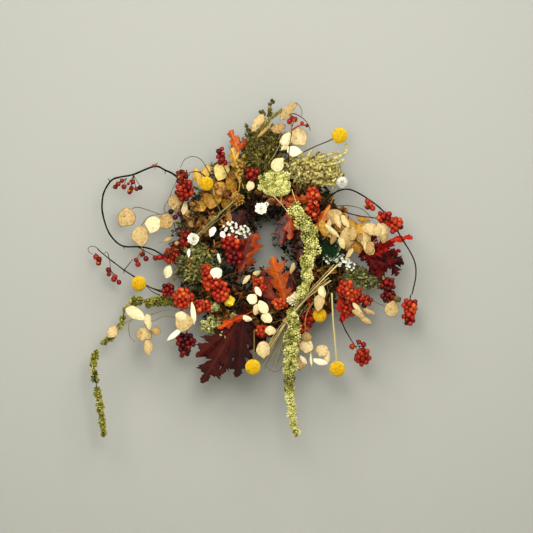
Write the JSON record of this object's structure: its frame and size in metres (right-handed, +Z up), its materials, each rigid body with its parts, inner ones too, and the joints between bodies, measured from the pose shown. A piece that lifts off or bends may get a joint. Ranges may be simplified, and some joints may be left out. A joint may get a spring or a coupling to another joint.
{
  "type": "harvest wreath",
  "caption": "Dried harvest wreath on a grapevine ring, dressed with berry vines, seed pods, oak leaves, yellow ball flowers and two hanging flower tassels.",
  "frame": {"origin": "on the wall plane behind the inside top of the wire hanging loop, where the nail carries it", "axes": "+X to the right, +Z up, the wreath faces -Y and its back lies against the wall plane y = 0"},
  "size_m": [0.5247, 0.1429, 0.5348],
  "materials": {
    "grapevine_bark": "matte",
    "dark_vine": "matte",
    "hanger_wire": "satin",
    "red_berries": "satin",
    "dark_berries": "satin",
    "yellow_florets": "matte",
    "pale_florets": "matte",
    "olive_florets": "matte",
    "cedar_foliage": "matte",
    "cream_pods": "satin",
    "amber_pods": "satin",
    "white_petals": "matte",
    "burgundy_leaf": "satin",
    "orange_leaf": "satin",
    "straw": "matte"
  },
  "bodies": {
    "hanger": {"hanger_loop": "hanger_wire"},
    "wreath": {"base_strand_1": "grapevine_bark", "base_strand_2": "grapevine_bark", "base_strand_3": "grapevine_bark", "base_strand_4": "grapevine_bark", "binding_vine": "dark_vine", "hanger_band": "hanger_wire", "left_loop_vine": "dark_vine", "lower_left_vine": "dark_vine", "right_arc_vine": "dark_vine", "upper_left_berry_vine": "red_berries", "top_left_berries": "red_berries", "top_right_berries": "red_berries", "right_centre_berries": "red_berries", "inner_lower_berries": "red_berries", "centre_top_berries": "red_berries", "centre_left_berries": "red_berries", "left_mass_berries": "red_berries", "left_mid_berries": "red_berries", "right_dark_berries": "dark_berries", "billy_button_top_right": "yellow_florets", "billy_button_upper_left": "yellow_florets", "billy_button_left": "yellow_florets", "billy_button_bottom": "yellow_florets", "billy_button_lower_right": "yellow_florets", "billy_button_inner_right": "yellow_florets", "front_tassel_upper": "pale_florets", "pale_amaranth_head": "pale_florets", "left_tassel_upper": "olive_florets", "plume_spray": "olive_florets", "right_moss": "olive_florets", "left_moss": "olive_florets", "lower_left_moss": "olive_florets", "cedar_clump": "cedar_foliage", "pine_tuft": "cedar_foliage", "left_pods": "cream_pods", "top_pods": "cream_pods", "lower_left_pods": "cream_pods", "centre_pods": "cream_pods", "lower_right_pods": "cream_pods", "right_pods": "cream_pods", "right_low_pods": "cream_pods", "amber_pods": "amber_pods", "strawflower": "white_petals", "fuzzy_white_flower": "white_petals", "daisy_and_stick_bunch": "white_petals", "white_statice_right": "white_petals", "lower_oak_leaves": "burgundy_leaf", "right_oak_leaves": "burgundy_leaf", "top_oak_leaf": "orange_leaf", "inner_left_oak_leaf": "orange_leaf", "inner_lower_oak_leaf": "orange_leaf", "inner_right_oak_leaf": "orange_leaf", "straw_bundle": "straw"},
    "front_tassel": {"front_tassel_lower": "pale_florets"},
    "left_tassel": {"left_tassel_lower": "olive_florets"},
    "right_berry_spray": {"right_hanging_berries": "red_berries"},
    "lower_right_berry_spray": {"lower_right_berries": "red_berries"},
    "left_berry_spray": {"left_hanging_berries": "dark_berries"}
  },
  "joints": [
    {"name": "lean_out", "type": "hinge", "parent": "hanger", "child": "wreath", "pos_m": [0, -0.01, -0.0443], "axis": [-1, 0, 0], "range_deg": [0, 25]},
    {"name": "front_tassel_sway", "type": "hinge", "parent": "wreath", "child": "front_tassel", "pos_m": [0.0373, -0.128, -0.28], "axis": [0, 1, 0], "range_deg": [-20, 20]},
    {"name": "left_tassel_sway", "type": "hinge", "parent": "wreath", "child": "left_tassel", "pos_m": [-0.274, -0.066, -0.342], "axis": [0, 1, 0], "range_deg": [-20, 20]},
    {"name": "right_berry_spray_sway", "type": "hinge", "parent": "wreath", "child": "right_berry_spray", "pos_m": [0.226, -0.078, -0.2565], "axis": [0, 1, 0], "range_deg": [-15, 15]},
    {"name": "lower_right_berry_spray_sway", "type": "hinge", "parent": "wreath", "child": "lower_right_berry_spray", "pos_m": [0.1475, -0.088, -0.3285], "axis": [0, 1, 0], "range_deg": [-15, 15]},
    {"name": "left_berry_spray_sway", "type": "hinge", "parent": "wreath", "child": "left_berry_spray", "pos_m": [-0.1309, -0.07, -0.3165], "axis": [0, 1, 0], "range_deg": [-12, 12]}
  ]
}
